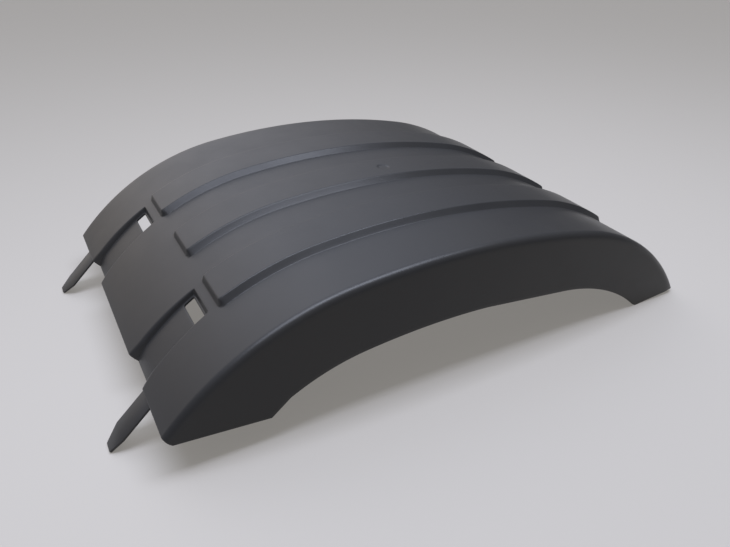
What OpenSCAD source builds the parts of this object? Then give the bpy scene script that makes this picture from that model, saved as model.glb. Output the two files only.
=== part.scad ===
/* [Arch] */
// Width of the shell across the tyre
width = 640; // [560:5:720]
// Outer radius of the skin over the crown
crown_radius = 1232; // [1000:4:1500]
// Outer radius of the skin at each shoulder
shoulder_radius = 448; // [400:2:520]
// Angle that the crown spans
crown_angle = 21; // [16:0.5:26]
// Slope of the skin at each end edge
end_slope = 52.6; // [46:0.2:58]
// Thickness of the moulded wall
wall = 3.5; // [3:0.1:5]

/* [Sides] */
// Outer radius of the fold between the skin and the skirt
crease_radius = 14; // [8:1:18]
// Depth of the lip along the other side
lip_depth = 20; // [12:1:30]
// Outer radius of the fold between the skin and the lip
lip_radius = 6; // [5:0.5:10]
// Depth of the skirt over the left half of the wheel cut-out
skirt_depth = 113; // [95:1:125]
// Distance from the middle to the kink in the cut-out's edge
kink_offset = 16; // [0:1:60]
// Radius of the cut-out's right shoulder
cutout_radius = 364; // [345:1:380]
// How far the right shoulder's centre lies past the skin's own, along the chord
cutout_shift = 16; // [10:1:22]
// How far the right shoulder's centre lies below the skin's own
cutout_sink = 25.5; // [20:0.5:30]
// Drop of the left foot below the end edges, at its outer corner
foot_left_drop = 8.5; // [4:0.5:14]
// Drop of the left foot below the end edges, at the step
foot_left_fall = 14.5; // [9:0.5:20]
// Length of the left foot, from the end edge to the step
foot_left_length = 150; // [120:2:170]
// Slope of the step at the left foot
step_slope = 43; // [35:1:60]
// Drop of the right foot at its outer corner
foot_right_drop = 3; // [2:0.5:8]
// Drop of the right foot at its inner corner
foot_right_fall = 16; // [9:0.5:20]
// Length of the right foot
foot_right_length = 102; // [80:1:120]

/* [Ribs] */
// Width of each raised rib over its flat top
rib_width = 82; // [60:1:90]
// Distance between the middles of two ribs
rib_pitch = 160; // [140:1:180]
// Height of a rib over the skin
rib_height = 9; // [6:0.5:12]
// Rounding along a rib's top edges
rib_rounding = 4; // [2:0.5:5]
// Distance along the skin from an end edge to the ribs
rib_setback = 160; // [155:1:200]
// Slope of a rib's end walls, from upright
rib_end_slope = 52; // [20:1:60]
// Diameter of the moulding dimple on the middle rib
dimple_diameter = 20; // [14:1:26]
// Depth of the moulding dimple
dimple_depth = 1.2; // [0.8:0.1:2]

/* [Strap channels] */
// Distance from the middle of the shell to the middle of a channel
channel_offset = 158; // [150:1:170]
// Width of a channel between its walls, at the skin
channel_width = 69; // [62:1:76]
// Length of a channel along the skin
channel_length = 144; // [110:1:148]
// Depth of a channel at its open end
channel_depth_open = 15; // [12:0.5:18]
// Depth of a channel at its closed end
channel_depth_closed = 11.5; // [9:0.5:14]
// Slope of a channel's walls, from upright
channel_draft = 12; // [4:1:20]
// Rounding along the top edges of a channel's walls
channel_rounding = 7; // [5:0.5:9]
// Width of the strap hole in a channel's floor
hole_width = 57; // [46:1:58]
// Length of the strap hole along the channel
hole_length = 20; // [14:1:26]
// Distance from the strap hole to the channel's closed end
hole_margin = 9; // [6:0.5:14]
// Corner radius of the strap hole
hole_corner = 2.5; // [1:0.5:5]

/* [Tongues] */
// Distance from the middle of the shell to the middle of a tongue
tongue_offset = 224; // [218:1:240]
// Width of a tongue
tongue_width = 40; // [30:1:46]
// Length of a tongue past the end edge
tongue_length = 88; // [60:1:100]
// Slope of a tongue
tongue_slope = 47; // [43:0.5:50]
// Step from the skin down to a tongue at the end edge
tongue_step = 1.2; // [0.8:0.1:2]
// Length of the tapered tip
tip_length = 27; // [15:1:35]
// How far the tip tapers in on the side towards the middle
tip_inboard = 14; // [6:1:15]
// How far the tip tapers in on the side away from the middle
tip_outboard = 6; // [2:1:10]

/* [Hidden] */
$fn = 180;
edge_fn = 32;
plastic = "#4b4d52";

half_crown = crown_angle / 2;
degrees_per_mm = 180 / (PI * shoulder_radius);
crown_rise = crown_radius * (1 - cos(half_crown));
shoulder_rise = shoulder_radius * (cos(half_crown) - cos(end_slope));
rise = crown_rise + shoulder_rise;
crown_z = rise - crown_radius;
shoulder_x = (crown_radius - shoulder_radius) * sin(half_crown);
shoulder_z = crown_z + (crown_radius - shoulder_radius) * cos(half_crown);
half_span = shoulder_x + shoulder_radius * sin(end_slope);

// Past the material on every side, so that each cut runs clear through
clear = 40;
core_depth = skirt_depth + clear / 2;
// A little past a face or an edge that a cut has to clear
margin = 1;
// Smallest rounding on the inside of a rib's edges
least_rounding = 0.5;
// How far a tongue runs in under the skin
tongue_root = 12;
// How far the end edge is trimmed back over a tongue
tongue_trim = 0.4;

// The cut-out's edge: parallel to the skin on the left, then a straight run to a wider arc
cut_crown = crown_radius - skirt_depth;
cut_shoulder = shoulder_radius - skirt_depth;
cut_split = -shoulder_x - cut_shoulder * sin(half_crown);
kink = [kink_offset, crown_z + sqrt(pow(cut_crown, 2) - pow(kink_offset, 2))];
right_centre = [shoulder_x + cutout_shift, shoulder_z - cutout_sink];
kink_reach = norm(kink - right_centre);
kink_bearing = atan2(kink[1] - right_centre[1], kink[0] - right_centre[0]);
// The straight run meets the arc a little past the point where it would just touch
past_touch = 0.8;
// How far the straight run carries on into the arc
run_on = 6;
touch_bearing = kink_bearing - acos(cutout_radius / kink_reach) + past_touch;
touch = right_centre + cutout_radius * [cos(touch_bearing), sin(touch_bearing)];
cut_fall = (touch[1] - kink[1]) / (touch[0] - kink[0]);
left_step = [foot_left_length - half_span, -foot_left_fall];
right_inner = [half_span - foot_right_length, -foot_right_fall];

// The strap channel's floor turns about a centre set off along the skin, which makes it
// deeper towards the open end
channel_turn = channel_length * degrees_per_mm;
floor_depth = (channel_depth_open + channel_depth_closed) / 2;
floor_set_off = (channel_depth_open - channel_depth_closed) / 2 / sin(channel_turn / 2);
floor_bearing = channel_turn / 2 - end_slope;
channel_roll_over = channel_rounding * tan((90 - channel_draft) / 2);
// How far a rolled edge rises past the skin, so that it crosses it instead of just touching
crossing = 0.1;

// The tongue tips are the lowest and the leftmost points
tip_x = tongue_step * sin(end_slope) - half_span - tongue_length * cos(tongue_slope);
tip_z = -tongue_step * cos(end_slope) - tongue_length * sin(tongue_slope)
    - wall * cos(tongue_slope);
mid_x = (half_span + tip_x) / 2;

mudguard_shell();

module mudguard_shell()
    translate([-mid_x, 0, -tip_z]) color(plastic) {
        difference() {
            outer_form();
            hollow();
            for (side = [-1, 1]) channel_cut(side, 0);
            wheel_cutout();
            for (side = [-1, 1]) strap_hole(side);
            for (side = [-1, 1]) tongue_seat(side);
            dimple();
        }
        for (side = [-1, 1]) tongue(side);
    }

// Places children on the left shoulder at a distance along the skin from the end edge, with
// x along the skin and z outwards
module at_station(distance)
    translate([-shoulder_x, 0, shoulder_z])
        rotate([0, distance * degrees_per_mm - end_slope, 0])
            translate([0, 0, shoulder_radius]) children();

// Turns a section along one arc, between two angles from upright. The section's x runs
// outwards from the skin and its y towards the skirt
module sweep_arc(radius, centre, first, last)
    place(centre) rotate([90, 0, 0])
        rotate_extrude(start = 90 - last, angle = last - first)
            place([radius, 0]) children();

// Moves children in whole millimetres, then thousandths, then the rest, so that arcs that
// meet do so exactly
module place(to) {
    whole = [for (c = to) floor(c)];
    part = [for (c = to - whole) floor(c * 1000) / 1000];
    translate(whole) translate(part) translate(to - whole - part) children();
}

// Turns a section along the arch, set back from each end edge
module sweep(setback) {
    inset = setback * degrees_per_mm;
    sweep_arc(shoulder_radius, [-shoulder_x, 0, shoulder_z], inset - end_slope, -half_crown)
        children();
    sweep_arc(crown_radius, [0, 0, crown_z], -half_crown, half_crown)
        children();
    sweep_arc(shoulder_radius, [shoulder_x, 0, shoulder_z], half_crown, end_slope - inset)
        children();
}

// A filled section with one rounded edge to each side, lowered by a wall thickness for the
// hollow
module skin_section(inward) {
    near = width / 2 - inward;
    fold = crease_radius - inward;
    edge = lip_radius - inward;
    difference() {
        translate([-core_depth - 2 * inward, -near])
            square([core_depth + inward, 2 * near]);
        translate([-fold - inward, near - fold]) square(fold + margin);
        translate([-edge - inward, -near - margin]) square(edge + margin);
    }
    translate([-fold - inward, near - fold]) circle(fold, $fn = edge_fn);
    translate([-edge - inward, -near + edge]) circle(edge, $fn = edge_fn);
}

// A rib's section: a low bar with two rounded top edges
module rib_section(inward) {
    half = rib_width / 2 - inward;
    top = rib_height - inward;
    round = max(rib_rounding - inward, least_rounding);
    translate([-clear / 2, -half]) square([clear / 2 + top - round, 2 * half]);
    translate([0, round - half]) square([top, 2 * (half - round)]);
    for (side = [-1, 1])
        translate([top - round, side * (half - round)]) circle(round, $fn = edge_fn);
}

module rib(middle, inward)
    difference() {
        sweep(rib_setback - clear / 2) translate([0, middle]) rib_section(inward);
        for (side = [0, 1]) mirror([side, 0, 0])
            at_station(rib_setback) rotate([0, rib_end_slope, 0])
                translate([inward - 2 * clear, -middle - rib_width, -2 * clear])
                    cube([2 * clear, 2 * rib_width, 4 * clear]);
    }

module outer_form() {
    sweep(0) difference() {
        skin_section(0);
        translate([-core_depth - margin, -width / 2 - margin])
            square([core_depth + margin - lip_depth, clear]);
    }
    for (i = [-1:1]) rib(i * rib_pitch, 0);
}

module hollow()
    difference() {
        union() {
            sweep(-margin) skin_section(wall);
            for (i = [-1:1]) rib(i * rib_pitch, wall);
        }
        for (side = [-1, 1]) channel_cut(side, wall);
    }

// The space above a strap channel, grown by a wall thickness for the hollow below
module channel_cut(side, outward) {
    past = (channel_length + channel_rounding) * degrees_per_mm;
    difference() {
        sweep_arc(shoulder_radius, [-shoulder_x, 0, shoulder_z],
            -margin * degrees_per_mm - end_slope, past - end_slope)
            translate([0, -side * channel_offset]) channel_section(outward);
        at_station(channel_length) translate([0, side * channel_offset, 0])
            rotate([90, 0, 0])
                linear_extrude(height = 2 * channel_width, center = true)
                    channel_end(outward);
        translate([-shoulder_x, 0, shoulder_z])
            rotate([0, floor_bearing - 90, 0]) translate([0, 0, floor_set_off])
                rotate([90, 0, 0])
                    cylinder(r = shoulder_radius - floor_depth - outward, h = width, center = true);
    }
}

// Across a channel: two sloping walls whose top edges roll over into the skin
module channel_section(outward) {
    half = channel_width / 2 + outward / cos(channel_draft);
    spread = clear * tan(channel_draft);
    roll = channel_rounding - outward;
    centre = [crossing - channel_rounding, channel_width / 2 + channel_roll_over];
    foot = centre + roll * [sin(channel_draft), -cos(channel_draft)];
    polygon([[clear, -half - spread], [clear, half + spread],
        [-clear, half - spread], [-clear, spread - half]]);
    for (hand = [-1, 1]) scale([1, hand]) difference() {
        polygon([[foot[0], 0], foot, [centre[0] + roll, centre[1]], [clear, centre[1]],
            [clear, 0]]);
        translate(centre) circle(roll, $fn = edge_fn);
    }
}

// What stays beyond a channel's closed end: a sloping wall with the same rolled edge
module channel_end(outward) {
    roll = channel_rounding - outward;
    centre = [channel_roll_over, -channel_rounding];
    foot = centre + roll * [-cos(channel_draft), sin(channel_draft)];
    top = centre + [0, crossing + roll];
    polygon([foot, foot - 2 * clear * [sin(channel_draft), cos(channel_draft)],
        [clear, -2 * clear], [clear, top[1]], top]);
    translate(centre + [0, crossing]) circle(roll, $fn = edge_fn);
}

module strap_hole(side) {
    half_x = hole_length / 2 - hole_corner;
    half_y = hole_width / 2 - hole_corner;
    at_station(channel_length - hole_margin - hole_length / 2)
        translate([0, side * channel_offset, -clear])
            linear_extrude(height = clear) {
                square([hole_length, 2 * half_y], center = true);
                square([2 * half_x, hole_width], center = true);
                for (x = [-half_x, half_x], y = [-half_y, half_y])
                    translate([x, y]) circle(hole_corner, $fn = edge_fn);
            }
}

module dimple()
    translate([0, 0, rise + rib_height - dimple_depth])
        cylinder(d = dimple_diameter, h = clear);

// Everything under the skirt's lower edge, cut through the skirt only
module wheel_cutout()
    translate([0, clear - width / 2, 0]) rotate([90, 0, 0])
        linear_extrude(height = 2 * clear) {
            difference() {
                cutout_arcs();
                translate(left_step) rotate(step_slope)
                    translate([-2 * half_span, 0]) square(4 * half_span);
            }
            polygon([left_step, [-half_span, -foot_left_drop],
                [-half_span - clear, -foot_left_drop],
                [-half_span - clear, -rise - clear], [left_step[0], -rise - clear]]);
            polygon([right_inner, [half_span, -foot_right_drop],
                [half_span + clear, -foot_right_drop],
                [half_span + clear, -rise - clear],
                [right_inner[0] - clear, -rise - clear], right_inner - [clear, 0]]);
        }

module cutout_arcs() {
    past = touch + run_on * [1, cut_fall];
    place([-shoulder_x, shoulder_z]) circle(cut_shoulder);
    intersection() {
        place([0, crown_z]) circle(cut_crown);
        polygon([[cut_split, -rise], [cut_split, kink[1] + (cut_split - kink[0]) * cut_fall],
            past, [past[0], -rise]]);
    }
    translate(right_centre) circle(cutout_radius);
}

// Places children at the end edge over a tongue, with x along the tongue and z square to it
module at_tongue(side)
    translate([-half_span, side * tongue_offset, 0]) rotate([0, -end_slope, 0])
        translate([0, 0, -tongue_step]) rotate([0, end_slope - tongue_slope, 0]) children();

// A flat plate that starts under the skin and runs on past the end edge
module tongue(side)
    at_tongue(side) translate([0, 0, -wall]) linear_extrude(height = wall)
        scale([1, side]) polygon([
            [tongue_root, -tongue_width / 2],
            [tip_length - tongue_length, -tongue_width / 2],
            [-tongue_length, tip_inboard - tongue_width / 2],
            [-tongue_length, tongue_width / 2 - tip_outboard],
            [tip_length - tongue_length, tongue_width / 2],
            [tongue_root, tongue_width / 2]]);

// Trims the end edge square to the tongue's face, so that a flat plate can lie on all of it
module tongue_seat(side)
    at_tongue(side) translate([-clear, -tongue_width / 2, 0])
        cube([clear + tongue_trim, tongue_width, clear]);
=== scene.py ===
"""The looks of an arched truck mudguard, built round its solid model."""

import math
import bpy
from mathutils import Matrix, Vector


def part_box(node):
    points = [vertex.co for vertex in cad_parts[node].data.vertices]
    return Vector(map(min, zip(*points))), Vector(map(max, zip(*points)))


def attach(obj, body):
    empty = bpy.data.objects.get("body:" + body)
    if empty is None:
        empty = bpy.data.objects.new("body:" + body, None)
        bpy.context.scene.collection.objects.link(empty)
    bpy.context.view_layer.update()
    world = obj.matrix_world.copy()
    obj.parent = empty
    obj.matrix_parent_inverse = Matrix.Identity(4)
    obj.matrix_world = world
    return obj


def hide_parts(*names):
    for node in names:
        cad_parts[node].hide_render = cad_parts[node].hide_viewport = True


bl_info = {
    "name": "Truck Mudguard",
    "version": (1, 0, 0),
    "blender": (4, 5, 0),
    "location": "3D View > Sidebar > Mudguard",
    "description": "Builds the moulded shell, its tongues and the studio round the solid model",
    "category": "Object",
}

import bpy
import bmesh
import numpy as np
from bpy.props import FloatProperty, FloatVectorProperty, PointerProperty
from mathutils import Matrix, Vector

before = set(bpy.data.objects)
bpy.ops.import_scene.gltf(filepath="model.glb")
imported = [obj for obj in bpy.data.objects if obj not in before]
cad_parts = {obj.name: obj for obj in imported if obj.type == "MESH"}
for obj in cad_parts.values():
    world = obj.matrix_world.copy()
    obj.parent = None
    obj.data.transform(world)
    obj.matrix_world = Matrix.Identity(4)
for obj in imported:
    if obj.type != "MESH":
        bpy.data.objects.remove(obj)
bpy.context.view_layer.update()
SHELL_NODE = "mudguard_shell"
SHELL_LOW, SHELL_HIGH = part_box(SHELL_NODE)

# The shell is a grid of columns, at places across the skin, and stations, at places along it
COLUMN_STEP = 0.016
ARCH_STATIONS = 120
MOUTH_STATIONS = 12
DIMPLE_LINES, DIMPLE_MARGIN = 15, 0.001
WALL_LINES, WALL_OUTSIDE, WALL_INSIDE = 19, 0.0105, 0.0065
RIB_CORNER_COLUMNS = (0.0075, 0.009)
RIB_CORNER_STATIONS, RIB_CORNER_START = 7, 0.001
SKIRT_CORNER_STATIONS = (-0.002, -0.0007, 0, 0.0007, 0.002)
FOOT_POINTS, TOP_POINTS = 6, 8
LIP_ROWS, LIP_FOLD_ROWS = 5, 8
# The skirt's rows crowd together towards the crease by this power
SKIRT_ROWS, SKIRT_CROWDING = 26, 1.6
# Other columns and stations keep this far from the strap holes' edges and the two folds
HOLE_CLEARANCE_ACROSS, HOLE_CLEARANCE_ALONG = 0.0008, 0.0009
FOLD_CLEARANCE = 0.002
TWIN_GAP = 0.0003

# The skirt's edge is looked for between these depths, in steps and then by halving
LEAST_DEPTH, MOST_DEPTH, DEPTH_STEP, DEPTH_HALVINGS = 0.004, 0.14, 0.001, 12
# This close to the right foot, everything below the foot's inner corner is cut away
FOOT_REACH = 0.04
# How far outside its own outline a rib or a channel still shapes the skin
RIB_APRON, CHANNEL_APRON = 0.002, 0.004
# Share of the dimple's radius that its sloping edge spans
DIMPLE_EDGE = 0.16
# How far on each side of a channel's wall the mouth's flare moves the skin
FLARE_REACH = 0.022
# Share of a channel wall's height that its two roundings may take up together
MOST_ROLLED = 0.9
# Share of its radius by which a strap hole's corner point is drawn in, onto the rounding
CORNER_DRAW = 0.29
# Edges that turn by more than these many degrees stay sharp, or are softened on a tongue
SHARP_FROM, SOFT_FROM = 28, 50

# The camera's place from the middle of the left end edge, and its directions
CAMERA_PLACE = (-0.1063, -0.9627, 0.6242)
CAMERA_RIGHT = (0.8723, -0.4847, 0.0657)
CAMERA_BACK = (-0.4491, -0.7405, 0.4999)
# The width of its sensor in millimetres, and how far it sees in metres
CAMERA_SENSOR, CAMERA_SIGHT = 36, 60

SOFTBOX_PLACE = (-0.35, -0.3, 2.2)
SOFTBOX_LENGTH, SOFTBOX_WIDTH = 2.6, 0.8
SOFTBOX_TINT = (0.91, 0.97, 1.16)
FLOOR_HALF, FLOOR_SQUARES = 14.0, 24
FLOOR_GAP = 0.0004
FLOOR_LIGHT = (1, 0.96, 0.91)
ROOM_TINT = (1, 0.98, 0.95)
# Power of the cosine by which a light in the room falls off round its own side
LIGHT_FALL_OFF = 6


def length(name, description, default):
    return FloatProperty(name=name, description=description, default=default, unit="LENGTH")


def angle(name, description, degrees):
    return FloatProperty(
        name=name, description=description, default=math.radians(degrees), subtype="ANGLE"
    )


def colour(name, description, default):
    return FloatVectorProperty(
        name=name, description=description, subtype="COLOR", size=3, default=default,
        min=0, max=1,
    )


def portion(name, description, default):
    return FloatProperty(name=name, description=description, default=default, min=0, max=1)


def brightness(name, description, default):
    return FloatProperty(name=name, description=description, default=default, min=0)


class MudguardShell(bpy.types.PropertyGroup):
    """Sizes of the moulded shell"""

    crown_radius: length("Crown radius", "Outer radius of the skin over the crown", 1.232)
    shoulder_radius: length("Shoulder radius", "Outer radius of the skin at each shoulder", 0.448)
    crown_angle: angle("Crown angle", "Angle that the crown spans", 21)
    end_slope: angle("End slope", "Slope of the skin at each end edge", 52.6)
    wall: length("Wall", "Thickness of the moulded wall", 0.0035)
    edge_softness: length("Edge softness", "Rounding along the cut edges", 0.0007)
    crease_radius: length("Crease radius", "Fold between the skin and the skirt", 0.013)
    lip_radius: length("Lip radius", "Fold between the skin and the lip", 0.006)
    lip_depth: length("Lip depth", "Depth of the lip on the far side", 0.020)
    rib_width: length("Rib width", "Width of each rib's flat top", 0.0735)
    rib_draft: angle("Rib draft", "Lean of a rib's long walls from upright", 49)
    rib_pitch: length("Rib pitch", "Distance between the middles of two ribs", 0.160)
    rib_height: length("Rib height", "Height of a rib over the skin", 0.009)
    rib_rounding: length("Rib rounding", "Rounding along a rib's top edges", 0.004)
    rib_foot: length("Rib foot", "Fillet along a rib's foot", 0.003)
    rib_setback: length("Rib setback", "Distance from an end edge to the ribs", 0.160)
    rib_end_run: length("Rib end run", "Length of the slope at a rib's ends", 0.0068)
    rib_corner: length("Rib corner", "Rounding of a rib's corners seen from above", 0.013)
    dimple_diameter: length("Dimple diameter", "Moulding dimple on the middle rib", 0.020)
    dimple_depth: length("Dimple depth", "Depth of the moulding dimple", 0.0012)


class MudguardSkirt(bpy.types.PropertyGroup):
    """Sizes of the side skirt and its wheel cut-out"""

    depth: length("Depth", "Depth over the left half of the cut-out", 0.113)
    kink_offset: length("Kink offset", "From the middle to the kink in the edge", 0.016)
    cutout_radius: length("Cut-out radius", "Radius of the cut-out's right shoulder", 0.364)
    cutout_shift: length(
        "Cut-out shift", "How far its centre stands out past the shoulder's", 0.016
    )
    cutout_sink: length("Cut-out sink", "How far its centre lies below the shoulder's", 0.0255)
    touch_past: angle("Touch", "How far past the tangent the right shoulder's curve starts", 0.8)
    left_drop: length("Left drop", "Drop of the left foot at its outer corner", 0.0085)
    left_fall: length("Left fall", "Drop of the left foot at the step", 0.0145)
    left_length: length("Left length", "Length of the left foot", 0.150)
    step_slope: angle("Step slope", "Slope of the step at the left foot", 43)
    right_drop: length("Right drop", "Drop of the right foot at its outer corner", 0.003)
    right_fall: length("Right fall", "Drop of the right foot at its inner corner", 0.016)
    right_length: length("Right length", "Length of the right foot", 0.102)


class MudguardChannel(bpy.types.PropertyGroup):
    """Sizes of the strap channels"""

    offset: length("Offset", "From the middle of the shell to the middle of a channel", 0.158)
    width: length("Width", "Width between the walls at the skin", 0.069)
    span: length("Length", "Length of a channel along the skin", 0.144)
    depth_open: length("Open depth", "Depth ahead of the flared mouth", 0.0085)
    depth_closed: length("Closed depth", "Depth at the closed end", 0.0065)
    draft: angle("Draft", "Slope of the long walls from upright", 18)
    end_draft: angle("End draft", "Slope of the closed end's wall from upright", 38)
    rounding_open: length("Open rounding", "Rounding along the top edges at the mouth", 0.013)
    rounding_closed: length("Closed rounding", "Rounding at the closed end", 0.0025)
    foot: length("Foot", "Fillet along the floor's edges", 0.0012)
    mouth_length: length("Mouth length", "Length of the flare at the open end", 0.030)
    mouth_drop: length("Mouth drop", "How much deeper the floor runs out at the mouth", 0.0052)
    mouth_spread: length("Mouth spread", "How far the walls part at the mouth", 0.004)
    hole_width: length("Hole width", "Width of the strap hole", 0.057)
    hole_length: length("Hole length", "Length of the strap hole", 0.020)
    hole_margin: length("Hole margin", "From the strap hole to the closed end", 0.009)
    hole_corner: length("Hole corner", "Corner radius of the strap hole", 0.0025)


class MudguardTongue(bpy.types.PropertyGroup):
    """Sizes of the tongues"""

    offset: length("Offset", "From the middle of the shell to the middle of a tongue", 0.224)
    width: length("Width", "Width of a tongue", 0.040)
    reach: length("Length", "Length past the end edge", 0.088)
    root: length("Root", "Length under the skin", 0.012)
    slope: angle("Slope", "Slope of a tongue", 47)
    step: length("Step", "Step from the skin down to a tongue", 0.0012)
    tip_length: length("Tip length", "Length of the tapered tip", 0.027)
    tip_inboard: length("Inboard taper", "Taper on the side towards the middle", 0.014)
    tip_outboard: length("Outboard taper", "Taper on the side away from the middle", 0.006)
    corner: length("Corner", "Rounding of the outline's corners", 0.0015)


class MudguardLooks(bpy.types.PropertyGroup):
    """Colours and finish of the plastic and the studio"""

    plastic: colour("Plastic", "Charcoal moulding colour", (0.0262, 0.0265, 0.0278))
    plastic_worn: colour(
        "Worn plastic", "Paler colour where the plastic has dried out", (0.034, 0.0322, 0.0295)
    )
    sheen: portion("Sheen", "Strength of the plastic's reflections", 0.28)
    sheen_roughness: portion("Roughness", "Roughness of the satin skin", 0.33)
    grain_depth: portion("Grain", "Strength of the fine moulded grain", 0.12)
    floor: colour("Floor", "Pale studio floor", (0.30, 0.285, 0.265))
    floor_glow: brightness("Floor glow", "Light let through the pale table from below", 0.21)
    backdrop: colour("Backdrop", "Pale room seen past the floor", (0.55, 0.555, 0.56))
    ceiling: brightness("Ceiling light", "Strength of the soft light from above", 0.4)
    back: brightness("Back light", "Strength of the cool light high behind", 1.45)
    window: brightness("Window light", "Strength of the low light behind", 1.05)
    room: brightness("Room light", "Strength of the even light all round", 0.05)
    softbox: FloatProperty(
        name="Softbox", description="Power of the softbox overhead", default=58.0, unit="POWER"
    )
    lens: FloatProperty(
        name="Lens", description="Focal length of the camera", default=32.03, unit="CAMERA"
    )


class Arch:
    """The outer skin: three tangent arcs, in the row's frame"""

    def __init__(self, shell):
        half = shell.crown_angle / 2
        self.slope = shell.end_slope
        self.half_crown = half
        self.big, self.small = shell.crown_radius, shell.shoulder_radius
        rise = self.big * (1 - math.cos(half))
        rise += self.small * (math.cos(half) - math.cos(self.slope))
        self.shoulder_x = (self.big - self.small) * math.sin(half)
        self.half_span = self.shoulder_x + self.small * math.sin(self.slope)
        self.middle = SHELL_HIGH.x - self.half_span
        self.chord = SHELL_HIGH.z - shell.rib_height - rise
        self.crown_z = self.chord + rise - self.big
        self.shoulder_z = self.crown_z + (self.big - self.small) * math.cos(half)
        self.shoulder_run = self.small * (self.slope - half)
        self.total = 2 * self.shoulder_run + self.big * 2 * half
        self.width = SHELL_HIGH.y - SHELL_LOW.y

    def arc(self, station):
        """Centre x, centre z, radius and angle from upright at a station along the skin"""
        if station < self.shoulder_run:
            turn = station / self.small - self.slope
            return self.middle - self.shoulder_x, self.shoulder_z, self.small, turn
        if station <= self.total - self.shoulder_run:
            turn = (station - self.total / 2) / self.big
            return self.middle, self.crown_z, self.big, turn
        turn = self.slope - (self.total - station) / self.small
        return self.middle + self.shoulder_x, self.shoulder_z, self.small, turn

    def point(self, station, y, out):
        """A point this far out from the skin"""
        cx, cz, radius, turn = self.arc(station)
        reach = radius + out
        return Vector((cx + reach * math.sin(turn), y, cz + reach * math.cos(turn)))

    def station_of(self, corner):
        """The station whose radial line passes through a corner of the skirt near an end"""
        side = -1 if corner.x < self.middle else 1
        away = corner.x - self.middle - side * self.shoulder_x
        turn = math.atan2(away, corner.y - self.shoulder_z)
        run = self.small * (self.slope - side * turn)
        return run if side < 0 else self.total - run


class Cutout:
    """The skirt's lower edge, as the depth below the skin at each station"""

    def __init__(self, arch, skirt):
        self.arch, self.skirt = arch, skirt
        self.crown_cut = arch.big - skirt.depth
        self.shoulder_cut = arch.small - skirt.depth
        rise = math.sqrt(self.crown_cut**2 - skirt.kink_offset**2)
        self.kink = Vector((arch.middle + skirt.kink_offset, arch.crown_z + rise))
        self.right = Vector((
            arch.middle + arch.shoulder_x + skirt.cutout_shift,
            arch.shoulder_z - skirt.cutout_sink,
        ))
        away = self.kink - self.right
        bearing = math.atan2(away.y, away.x) - math.acos(skirt.cutout_radius / away.length)
        bearing += skirt.touch_past
        self.touch = self.right + skirt.cutout_radius * Vector((
            math.cos(bearing), math.sin(bearing)
        ))
        left, right = arch.middle - arch.half_span, arch.middle + arch.half_span
        self.step = Vector((left + skirt.left_length, arch.chord - skirt.left_fall))
        self.left_end = Vector((left, arch.chord - skirt.left_drop))
        self.inner = Vector((right - skirt.right_length, arch.chord - skirt.right_fall))
        self.right_end = Vector((right, arch.chord - skirt.right_drop))
        self.split = arch.middle - arch.shoulder_x - self.shoulder_cut * math.sin(arch.half_crown)

    def removed(self, x, z):
        """Is this point of the skirt's plane cut away?"""
        arch = self.arch
        if x <= self.step.x:
            return self.below(self.left_end, self.step, x, z)
        if x >= self.inner.x:
            return self.below(self.inner, self.right_end, x, z)
        if x > self.inner.x - FOOT_REACH and z < self.inner.y:
            return True
        slope = self.skirt.step_slope
        if (z - self.step.y) * math.cos(slope) > (x - self.step.x) * math.sin(slope):
            return False
        if x < self.split:
            away = x - arch.middle + arch.shoulder_x
            return math.hypot(away, z - arch.shoulder_z) < self.shoulder_cut
        if x < self.kink.x:
            return math.hypot(x - arch.middle, z - arch.crown_z) < self.crown_cut
        if x < self.touch.x:
            return self.below(self.kink, self.touch, x, z)
        return math.hypot(x - self.right.x, z - self.right.y) < self.skirt.cutout_radius

    @staticmethod
    def below(a, b, x, z):
        """Does the point lie below the straight edge from a to b?"""
        return z < a.y + (b.y - a.y) * (x - a.x) / (b.x - a.x)

    def depth(self, station):
        """Distance from the skin down to the skirt's edge"""
        cx, cz, radius, turn = self.arch.arc(station)

        def gone(d):
            reach = radius - d
            return self.removed(cx + reach * math.sin(turn), cz + reach * math.cos(turn))

        d = LEAST_DEPTH
        while not gone(d) and d < MOST_DEPTH:
            d += DEPTH_STEP
        low, high = d - DEPTH_STEP, d
        for _ in range(DEPTH_HALVINGS):
            half = (low + high) / 2
            low, high = (low, half) if gone(half) else (half, high)
        return high


def wall_profile(height, top, foot, draft):
    """Distances across a wall from its foot line and heights up it, with both edges rounded"""
    lean = math.radians(90) - draft
    top_run, foot_run = top * math.tan(lean / 2), foot * math.tan(lean / 2)
    across = height * math.tan(draft)
    points = []
    for i in range(FOOT_POINTS):
        turn = lean * i / (FOOT_POINTS - 1)
        points.append((foot * math.sin(turn) - foot_run, foot * (1 - math.cos(turn))))
    for i in range(TOP_POINTS):
        turn = lean * (1 - i / (TOP_POINTS - 1))
        inward = across + top_run - top * math.sin(turn)
        points.append((inward, height - top * (1 - math.cos(turn))))
    return np.array(points)


def on_wall(profile, distance):
    """Height of a wall at a distance inside its foot line"""
    return np.interp(distance, profile[:, 0], profile[:, 1])


def merged(values):
    """Sorted values with near twins dropped"""
    kept = []
    for v in sorted(values):
        if not kept or v - kept[-1] > TWIN_GAP:
            kept.append(v)
    return np.array(kept)


def clear_of(values, edges, clearance):
    """The values that keep clear of the edges, and then the edges themselves"""
    return [v for v in values if min(abs(v - e) for e in edges) > clearance] + edges


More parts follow.
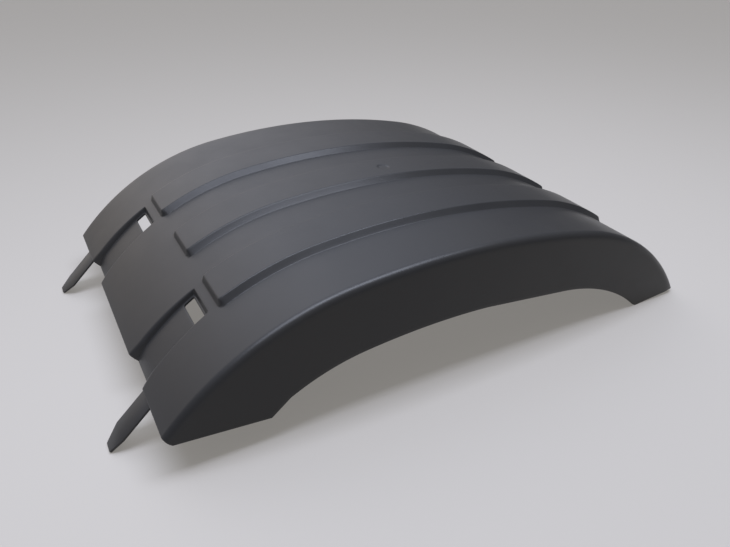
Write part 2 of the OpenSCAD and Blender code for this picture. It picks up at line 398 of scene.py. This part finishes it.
class Moulding:
    """Ribs, dimple, strap channels and folds, as heights over the arched skin"""

    def __init__(self, arch, shell, channel):
        self.arch, self.shell, self.channel = arch, shell, channel
        self.rib_wall = wall_profile(
            shell.rib_height, shell.rib_rounding, shell.rib_foot, shell.rib_draft
        )
        self.rib_end = wall_profile(
            shell.rib_height, shell.rib_rounding, shell.rib_foot,
            math.atan(shell.rib_end_run / shell.rib_height),
        )
        self.closed_end = wall_profile(
            channel.depth_closed, channel.foot, channel.rounding_closed, channel.end_draft
        )
        self.half_rib = shell.rib_width / 2 + shell.rib_height * math.tan(shell.rib_draft)
        self.half_channel = channel.width / 2
        self.ribs = (-shell.rib_pitch, 0, shell.rib_pitch)
        self.channels = (-channel.offset, channel.offset)
        self.dimple = shell.dimple_diameter / 2
        self.skirt_side = arch.width / 2 - shell.crease_radius
        self.lip_side = arch.width / 2 - shell.lip_radius
        hole_end = channel.span - channel.hole_margin
        self.hole_stations = [hole_end - channel.hole_length, hole_end]
        self.hole_columns = [
            middle + edge * channel.hole_width / 2 for middle in self.channels for edge in (-1, 1)
        ]

    def columns(self):
        """Places across the skin, close together where it bends"""
        shell, half = self.shell, self.arch.width / 2
        places = list(np.arange(-half, half, COLUMN_STEP))
        for middle in self.ribs:
            for d in (*self.rib_wall[:, 0], *RIB_CORNER_COLUMNS, shell.rib_corner):
                places += [middle - self.half_rib + d, middle + self.half_rib - d]
        for middle in self.channels:
            for d in np.linspace(-WALL_OUTSIDE, WALL_INSIDE, WALL_LINES):
                places += [middle - self.half_channel + d, middle + self.half_channel - d]
        places += self.dimple_lines()
        near, far = -self.skirt_side, self.lip_side
        places = [p for p in places if near + FOLD_CLEARANCE < p < far - FOLD_CLEARANCE]
        places = clear_of(places + [near, far], self.hole_columns, HOLE_CLEARANCE_ACROSS)
        return merged(places + self.hole_corners(self.hole_columns))

    def stations(self, cutout):
        """Places along the skin, close together where it or the skirt's edge bends"""
        shell, channel, total = self.shell, self.channel, self.arch.total
        places = list(np.linspace(0, total, ARCH_STATIONS))
        corner = np.linspace(RIB_CORNER_START, shell.rib_corner, RIB_CORNER_STATIONS)
        for d in (*self.rib_end[:, 0], *corner):
            places += [shell.rib_setback + d, total - shell.rib_setback - d]
        places += [channel.span - d for d in self.closed_end[:, 0]]
        places += list(np.linspace(0, channel.mouth_length, MOUTH_STATIONS))
        places += [total / 2 + line for line in self.dimple_lines()]
        for bend in (cutout.step, cutout.inner):
            at = self.arch.station_of(bend)
            places += [at + d for d in SKIRT_CORNER_STATIONS]
        places = clear_of(places, self.hole_stations, HOLE_CLEARANCE_ALONG)
        places += self.hole_corners(self.hole_stations)
        return merged([p for p in places if 0 <= p <= total])

    def dimple_lines(self):
        """Distances from the dimple's middle, from just past one edge to past the other"""
        reach = self.dimple + DIMPLE_MARGIN
        return list(np.linspace(-reach, reach, DIMPLE_LINES))

    def hole_corners(self, edges):
        """Where the rounding of the strap holes' corners starts on each side of an edge"""
        return [e + side * self.channel.hole_corner for e in edges for side in (-1, 1)]

    def rib_rise(self, edge, across):
        """Height of a rib this far inside its end and its side"""
        reach = self.shell.rib_corner
        if edge < reach and across < reach:
            a, b = reach - edge, reach - across
            inside = reach - math.hypot(a, b)
            share = a * a / (a * a + b * b)
            end, side = on_wall(self.rib_end, inside), on_wall(self.rib_wall, inside)
            return share * end + (1 - share) * side
        end = on_wall(self.rib_end, edge) / self.shell.rib_height
        return end * on_wall(self.rib_wall, across)

    def channel_wall(self, s):
        """A channel's long wall at a station: rolled over more towards the mouth"""
        channel = self.channel
        if s >= channel.span + CHANNEL_APRON:
            return None
        share = min(1.0, s / channel.span)
        depth = channel.depth_open + (channel.depth_closed - channel.depth_open) * share
        depth += channel.mouth_drop * self.flare(s)
        rolled = channel.rounding_open
        rolled += (channel.rounding_closed - channel.rounding_open) * share
        most = MOST_ROLLED * depth / (1 - math.sin(channel.draft)) - channel.foot
        return wall_profile(depth, channel.foot, min(rolled, most), channel.draft)

    def flare(self, s):
        """Grows from nothing at the back of the mouth to one at the end edge"""
        return max(0.0, 1 - s / self.channel.mouth_length) ** 2

    def height(self, s, y, wall):
        """Height over the skin, with the channel's wall of this station"""
        up, total = 0.0, self.arch.total
        edge = min(s, total - s) - self.shell.rib_setback
        if edge > -RIB_APRON:
            for middle in self.ribs:
                up += self.rib_rise(edge, self.half_rib - abs(y - middle))
            reach = math.hypot(y, s - total / 2) / self.dimple
            hollow = float(np.clip((1 + DIMPLE_EDGE / 2 - reach) / DIMPLE_EDGE, 0, 1))
            up -= self.shell.dimple_depth * hollow
        if wall is not None:
            down = on_wall(self.closed_end, self.channel.span - s) / self.channel.depth_closed
            for middle in self.channels:
                up -= down * on_wall(wall, self.half_channel - abs(y - middle))
        return up

    def spread(self, s, y):
        """The channels' walls part towards the open end"""
        pull = self.flare(s)
        if pull == 0:
            return y
        for middle in self.channels:
            away = y - middle
            near_wall = max(0.0, 1 - abs(abs(away) - self.half_channel) / FLARE_REACH)
            y += math.copysign(self.channel.mouth_spread * pull * near_wall, away)
        return y

    def section(self, s, columns, drop):
        """Heights and places across the shell, from the lip's edge to the skirt's"""
        shell, half = self.shell, self.arch.width / 2
        r = shell.lip_radius
        points = [(-d, half) for d in np.linspace(shell.lip_depth, r, LIP_ROWS)[:-1]]
        for degrees in np.linspace(90, 0, LIP_FOLD_ROWS)[:-1]:
            turn = math.radians(degrees)
            points.append((r * math.cos(turn) - r, self.lip_side + r * math.sin(turn)))
        wall = self.channel_wall(s)
        for y in columns[::-1]:
            points.append((self.height(s, y, wall), self.spread(s, y)))
        r = shell.crease_radius
        quarter = r * math.pi / 2
        run = quarter + drop - r if drop >= r else r * math.acos((r - drop) / r)
        for row in range(1, SKIRT_ROWS + 1):
            gone = run * (row / SKIRT_ROWS) ** SKIRT_CROWDING
            if gone <= quarter:
                turn = gone / r
                points.append((r * math.cos(turn) - r, -self.skirt_side - r * math.sin(turn)))
            else:
                points.append((quarter - r - gone, -half))
        return points


def link(name, data):
    """Put a mesh, a lamp or a camera in the scene"""
    piece = bpy.data.objects.new(name, data)
    bpy.context.scene.collection.objects.link(piece)
    return piece


def shade_smooth(mesh):
    """Smooth shading that keeps the true edges sharp"""
    mesh.polygons.foreach_set("use_smooth", [True] * len(mesh.polygons))
    mesh.set_sharp_from_angle(angle=math.radians(SHARP_FROM))
    mesh.update()


def keep_modifiers(piece):
    """Keep the finished mesh in place of the modifiers"""
    context = bpy.context.evaluated_depsgraph_get()
    done = bpy.data.meshes.new_from_object(piece.evaluated_get(context))
    piece.modifiers.clear()
    piece.data = done


def drop_loose(mesh):
    """Take out the points that no face uses"""
    build = bmesh.new()
    build.from_mesh(mesh)
    loose = [v for v in build.verts if not v.link_faces]
    bmesh.ops.delete(build, geom=loose, context="VERTS")
    build.to_mesh(mesh)
    build.free()


def soften_rim(mesh, outer, softness):
    """Round the cut edges: the wall's faces that join the outer skin to the inner one"""
    build = bmesh.new()
    build.from_mesh(mesh)
    build.verts.ensure_lookup_table()

    def rim(face):
        return len({v.index < outer for v in face.verts}) == 2

    edges = [
        e for e in build.edges if len(e.link_faces) == 2 and sum(map(rim, e.link_faces)) == 1
    ]
    bmesh.ops.bevel(
        build, geom=edges, offset=softness, segments=2, affect="EDGES", profile=0.5,
        clamp_overlap=False,
    )
    build.to_mesh(mesh)
    build.free()


def plastic_material(looks):
    """Charcoal polypropylene: satin, faintly grained, with slow drifts in tone and gloss"""
    name = "moulded_charcoal_plastic"
    if name in bpy.data.materials:
        return bpy.data.materials[name]
    material = bpy.data.materials.new(name)
    material.use_nodes = True
    nodes, links = material.node_tree.nodes, material.node_tree.links
    shader = nodes["Principled BSDF"]
    place = nodes.new("ShaderNodeTexCoord")

    def noise(scale, detail, roughness):
        texture = nodes.new("ShaderNodeTexNoise")
        texture.inputs["Scale"].default_value = scale
        texture.inputs["Detail"].default_value = detail
        texture.inputs["Roughness"].default_value = roughness
        links.new(place.outputs["Object"], texture.inputs["Vector"])
        return texture.outputs["Fac"]

    def bump(height, strength, distance):
        ripple = nodes.new("ShaderNodeBump")
        ripple.inputs["Strength"].default_value = strength
        ripple.inputs["Distance"].default_value = distance
        links.new(height, ripple.inputs["Height"])
        return ripple

    drift = noise(scale=3.1, detail=4, roughness=0.55)
    tone = nodes.new("ShaderNodeMix")
    tone.data_type = "RGBA"
    # Sockets 6 and 7 are the two colours, and socket 0 is how far they are mixed
    tone.inputs[6].default_value = (*looks.plastic, 1)
    tone.inputs[7].default_value = (*looks.plastic_worn, 1)
    links.new(drift, tone.inputs[0])
    links.new(tone.outputs[2], shader.inputs["Base Color"])

    smear = noise(scale=14, detail=5, roughness=0.6)
    gloss = nodes.new("ShaderNodeMapRange")
    gloss.inputs["From Min"].default_value = 0.3
    gloss.inputs["From Max"].default_value = 0.7
    gloss.inputs["To Min"].default_value = looks.sheen_roughness - 0.03
    gloss.inputs["To Max"].default_value = looks.sheen_roughness + 0.05
    links.new(smear, gloss.inputs["Value"])
    links.new(gloss.outputs["Result"], shader.inputs["Roughness"])

    fine = noise(scale=1400, detail=2, roughness=0.5)
    grain = bump(fine, strength=looks.grain_depth, distance=0.0002)
    slow = noise(scale=22, detail=3, roughness=0.5)
    flow = bump(slow, strength=0.25, distance=0.0006)
    links.new(flow.outputs["Normal"], grain.inputs["Normal"])
    links.new(grain.outputs["Normal"], shader.inputs["Normal"])
    shader.inputs["IOR"].default_value = 1.49
    shader.inputs["Specular IOR Level"].default_value = looks.sheen
    return material


def finish_piece(piece, looks):
    """Give a piece its plastic, and hand it over in place of the solid"""
    piece.data.materials.append(plastic_material(looks))
    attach(piece, "root")
    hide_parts(SHELL_NODE)


class MUDGUARD_OT_shell(bpy.types.Operator):
    """Build the skin, ribs, channels, lip and skirt as one shell of even thickness"""

    bl_idname = "mudguard.shell"
    bl_label = "Moulded shell"
    bl_options = {"REGISTER", "UNDO"}

    def execute(self, context):
        scene = context.scene
        shell = scene.mudguard_shell
        skin = self.outer_skin(shell, scene.mudguard_skirt, scene.mudguard_channel)
        outer = len(skin.vertices)
        piece = link("moulded_shell", skin)
        solidify = piece.modifiers.new("wall", "SOLIDIFY")
        solidify.thickness = shell.wall
        # The grid's faces look inwards, and the wall grows the way they look
        solidify.offset = 1
        solidify.use_even_offset = True
        keep_modifiers(piece)
        soften_rim(piece.data, outer, shell.edge_softness)
        shade_smooth(piece.data)
        finish_piece(piece, scene.mudguard_looks)
        return {"FINISHED"}

    @staticmethod
    def outer_skin(shell, skirt, channel):
        """The outer surface as one grid, with the strap holes left open"""
        arch = Arch(shell)
        cutout = Cutout(arch, skirt)
        moulding = Moulding(arch, shell, channel)
        columns, stations = moulding.columns(), moulding.stations(cutout)

        first = LIP_ROWS + LIP_FOLD_ROWS - 2
        last = first + len(columns) - 1
        lanes = sorted(
            last - int(np.argmin(abs(columns - h))) for h in moulding.hole_columns
        )
        holes = [int(np.argmin(abs(stations - h))) for h in moulding.hole_stations]
        draw = channel.hole_corner * CORNER_DRAW
        points = []
        for i, s in enumerate(stations):
            section = moulding.section(s, columns, cutout.depth(s))
            for j, (out, y) in enumerate(section):
                at = s
                if i in holes and j in lanes:
                    at += draw if i == holes[0] else -draw
                    inward = channel.offset * math.copysign(1, y) - y
                    y += math.copysign(draw, inward)
                points.append(arch.point(at, y, out))

        count = len(section)
        faces = []
        for i in range(len(stations) - 1):
            for j in range(count - 1):
                in_lane = lanes[0] <= j < lanes[1] or lanes[2] <= j < lanes[3]
                if not (in_lane and holes[0] <= i < holes[1]):
                    a = i * count + j
                    faces.append((a, a + count, a + count + 1, a + 1))
        skin = bpy.data.meshes.new("moulded_shell")
        skin.from_pydata(points, [], faces)
        drop_loose(skin)
        return skin


class MUDGUARD_OT_tongues(bpy.types.Operator):
    """Build the two tongues that hook under the next guard section"""

    bl_idname = "mudguard.tongues"
    bl_label = "Tongues"
    bl_options = {"REGISTER", "UNDO"}

    def execute(self, context):
        scene = context.scene
        shell, tongue = scene.mudguard_shell, scene.mudguard_tongue
        arch = Arch(shell)
        build = bmesh.new()
        for side in (-1, 1):
            self.add_tongue(build, side, arch, shell, tongue)
        bmesh.ops.recalc_face_normals(build, faces=build.faces)
        mesh = bpy.data.meshes.new("hooking_tongues")
        build.to_mesh(mesh)
        build.free()
        piece = link("hooking_tongues", mesh)
        soft = piece.modifiers.new("soft_edges", "BEVEL")
        soft.width = shell.edge_softness
        soft.segments = 2
        soft.limit_method = "ANGLE"
        soft.angle_limit = math.radians(SOFT_FROM)
        keep_modifiers(piece)
        shade_smooth(piece.data)
        finish_piece(piece, scene.mudguard_looks)
        return {"FINISHED"}

    @staticmethod
    def add_tongue(build, side, arch, shell, tongue):
        """One flat tongue with a tapered tip and rounded corners"""
        half, reach = tongue.width / 2, tongue.reach
        outline = [
            (tongue.root, -half), (tongue.tip_length - reach, -half),
            (-reach, tongue.tip_inboard - half), (-reach, half - tongue.tip_outboard),
            (tongue.tip_length - reach, half), (tongue.root, half),
        ]
        end_edge = (arch.middle - arch.half_span, side * tongue.offset, arch.chord)
        start = Matrix.Translation(end_edge)
        tilt = Matrix.Rotation(-shell.end_slope, 4, "Y")
        step = Matrix.Translation((0, 0, -tongue.step))
        lift = Matrix.Rotation(shell.end_slope - tongue.slope, 4, "Y")
        place = start @ tilt @ step @ lift
        top, under = (
            [build.verts.new(place @ Vector((x, side * y, z))) for x, y in outline]
            for z in (0, -shell.wall)
        )
        build.faces.new(top)
        build.faces.new(under[::-1])
        for k in range(len(outline)):
            n = (k + 1) % len(outline)
            build.faces.new((top[k], under[k], under[n], top[n]))
        tip = [{top[k], under[k]} for k in (1, 2, 3, 4)]
        corners = [e for e in build.edges if set(e.verts) in tip]
        bmesh.ops.bevel(
            build, geom=corners, offset=tongue.corner, segments=4, affect="EDGES", profile=0.5
        )


class MUDGUARD_OT_studio(bpy.types.Operator):
    """Set the pale floor, the soft lights and the camera"""

    bl_idname = "mudguard.studio"
    bl_label = "Studio"
    bl_options = {"REGISTER", "UNDO"}

    def execute(self, context):
        scene = context.scene
        looks = scene.mudguard_looks
        arch = Arch(scene.mudguard_shell)
        self.floor(Cutout(arch, scene.mudguard_skirt), looks)
        self.softbox(looks)
        self.room(looks)
        self.camera(arch, looks)
        scene.view_settings.view_transform = "Standard"
        return {"FINISHED"}

    @staticmethod
    def floor(cutout, looks):
        """A pale table that touches the tongue tips and the right foot"""
        low = Vector((SHELL_LOW.x, SHELL_LOW.z))
        foot = cutout.inner
        tilt = math.atan2(foot.y - low.y, foot.x - low.x)
        build = bmesh.new()
        bmesh.ops.create_grid(
            build, x_segments=FLOOR_SQUARES, y_segments=FLOOR_SQUARES, size=FLOOR_HALF
        )
        start = Matrix.Translation((low.x, 0, low.y - FLOOR_GAP))
        place = start @ Matrix.Rotation(-tilt, 4, "Y")
        bmesh.ops.transform(build, matrix=place, verts=build.verts)
        mesh = bpy.data.meshes.new("studio_floor")
        build.to_mesh(mesh)
        build.free()
        shade_smooth(mesh)
        floor = link("studio_floor", mesh)
        material = bpy.data.materials.new("pale_floor")
        material.use_nodes = True
        shader = material.node_tree.nodes["Principled BSDF"]
        shader.inputs["Base Color"].default_value = (*looks.floor, 1)
        shader.inputs["Roughness"].default_value = 0.9
        shader.inputs["Specular IOR Level"].default_value = 0.0
        shader.inputs["Emission Color"].default_value = (*FLOOR_LIGHT, 1)
        shader.inputs["Emission Strength"].default_value = looks.floor_glow
        mesh.materials.append(material)

    @staticmethod
    def softbox(looks):
        """A long soft light over the arch, which draws the highlight along the crease"""
        lamp = bpy.data.lights.new("overhead_softbox", "AREA")
        lamp.shape = "RECTANGLE"
        lamp.size, lamp.size_y = SOFTBOX_LENGTH, SOFTBOX_WIDTH
        lamp.color = SOFTBOX_TINT
        lamp.energy = looks.softbox
        holder = link("overhead_softbox", lamp)
        holder.location = SOFTBOX_PLACE

    @staticmethod
    def room(looks):
        """Soft light from above and behind; what the camera sees past the floor stays pale"""
        world = bpy.data.worlds.new("room")
        world.use_nodes = True
        nodes, links = world.node_tree.nodes, world.node_tree.links
        place = nodes.new("ShaderNodeTexCoord")

        def calculated(operation, value, number):
            step = nodes.new("ShaderNodeMath")
            step.operation = operation
            step.inputs[1].default_value = number
            links.new(value, step.inputs[0])
            return step.outputs["Value"]

        def glow(tint):
            light = nodes.new("ShaderNodeBackground")
            light.inputs["Color"].default_value = (*tint, 1)
            return light

        def from_side(azimuth, rise, tint, strength):
            """Light that is strongest from one side and falls off round it"""
            turn, rise = math.radians(azimuth), math.radians(rise)
            toward = nodes.new("ShaderNodeVectorMath")
            toward.operation = "DOT_PRODUCT"
            toward.inputs[1].default_value = (
                math.sin(turn) * math.cos(rise), math.cos(turn) * math.cos(rise), math.sin(rise)
            )
            links.new(place.outputs["Generated"], toward.inputs[0])
            lit = calculated("MAXIMUM", toward.outputs["Value"], 0)
            fading = calculated("POWER", lit, LIGHT_FALL_OFF)
            power = calculated("MULTIPLY", fading, strength)
            light = glow(tint)
            links.new(power, light.inputs["Strength"])
            return light

        even = glow(ROOM_TINT)
        even.inputs["Strength"].default_value = looks.room
        lights = even.outputs["Background"]
        # Degrees round from the lip's side, degrees up, tint and strength of each light
        for azimuth, rise, tint, strength in (
            (0, 90, (1, 0.97, 0.93), looks.ceiling),
            (355, 52, (0.84, 0.97, 1.26), looks.back),
            (347, 20, (1.12, 0.98, 0.84), looks.window),
        ):
            join = nodes.new("ShaderNodeAddShader")
            links.new(lights, join.inputs[0])
            light = from_side(azimuth, rise, tint, strength)
            links.new(light.outputs["Background"], join.inputs[1])
            lights = join.outputs["Shader"]
        seen = nodes.new("ShaderNodeLightPath")
        choose = nodes.new("ShaderNodeMixShader")
        links.new(seen.outputs["Is Camera Ray"], choose.inputs["Fac"])
        links.new(lights, choose.inputs[1])
        links.new(glow(looks.backdrop).outputs["Background"], choose.inputs[2])
        links.new(choose.outputs["Shader"], nodes["World Output"].inputs["Surface"])
        bpy.context.scene.world = world

    @staticmethod
    def camera(arch, looks):
        """The photograph's viewing angle"""
        lens = bpy.data.cameras.new("photo_view")
        lens.lens = looks.lens
        lens.sensor_width = CAMERA_SENSOR
        lens.clip_end = CAMERA_SIGHT
        camera = link("photo_view", lens)
        left_end = Vector((arch.middle - arch.half_span, 0, arch.chord))
        place = left_end + Vector(CAMERA_PLACE)
        back = Vector(CAMERA_BACK).normalized()
        up = back.cross(Vector(CAMERA_RIGHT)).normalized()
        right = up.cross(back)
        turn = Matrix((right, up, back)).transposed().to_4x4()
        camera.matrix_world = Matrix.Translation(place) @ turn
        bpy.context.scene.camera = camera


class MUDGUARD_PT_panel(bpy.types.Panel):
    """Lists the pieces of the mudguard"""

    bl_label = "Mudguard"
    bl_idname = "MUDGUARD_PT_panel"
    bl_space_type = "VIEW_3D"
    bl_region_type = "UI"
    bl_category = "Mudguard"

    def draw(self, context):
        layout, scene = self.layout, context.scene
        for operator, groups in (
            ("mudguard.shell", ("mudguard_shell", "mudguard_skirt", "mudguard_channel")),
            ("mudguard.tongues", ("mudguard_tongue",)),
            ("mudguard.studio", ("mudguard_looks",)),
        ):
            box = layout.box()
            box.operator(operator)
            for group in groups:
                settings = getattr(scene, group)
                for field in settings.bl_rna.properties.keys():
                    if field not in ("rna_type", "name"):
                        box.prop(settings, field)


GROUPS = {
    "mudguard_shell": MudguardShell,
    "mudguard_skirt": MudguardSkirt,
    "mudguard_channel": MudguardChannel,
    "mudguard_tongue": MudguardTongue,
    "mudguard_looks": MudguardLooks,
}
CLASSES = (
    *GROUPS.values(), MUDGUARD_OT_shell, MUDGUARD_OT_tongues, MUDGUARD_OT_studio,
    MUDGUARD_PT_panel,
)


def register():
    for item in CLASSES:
        bpy.utils.register_class(item)
    for name, group in GROUPS.items():
        setattr(bpy.types.Scene, name, PointerProperty(type=group))


def unregister():
    for name in GROUPS:
        delattr(bpy.types.Scene, name)
    for item in reversed(CLASSES):
        bpy.utils.unregister_class(item)


def main():
    register()
    bpy.ops.mudguard.shell()
    bpy.ops.mudguard.tongues()
    bpy.ops.mudguard.studio()
    bpy.context.view_layer.update()


if __name__ == "__main__":
    main()
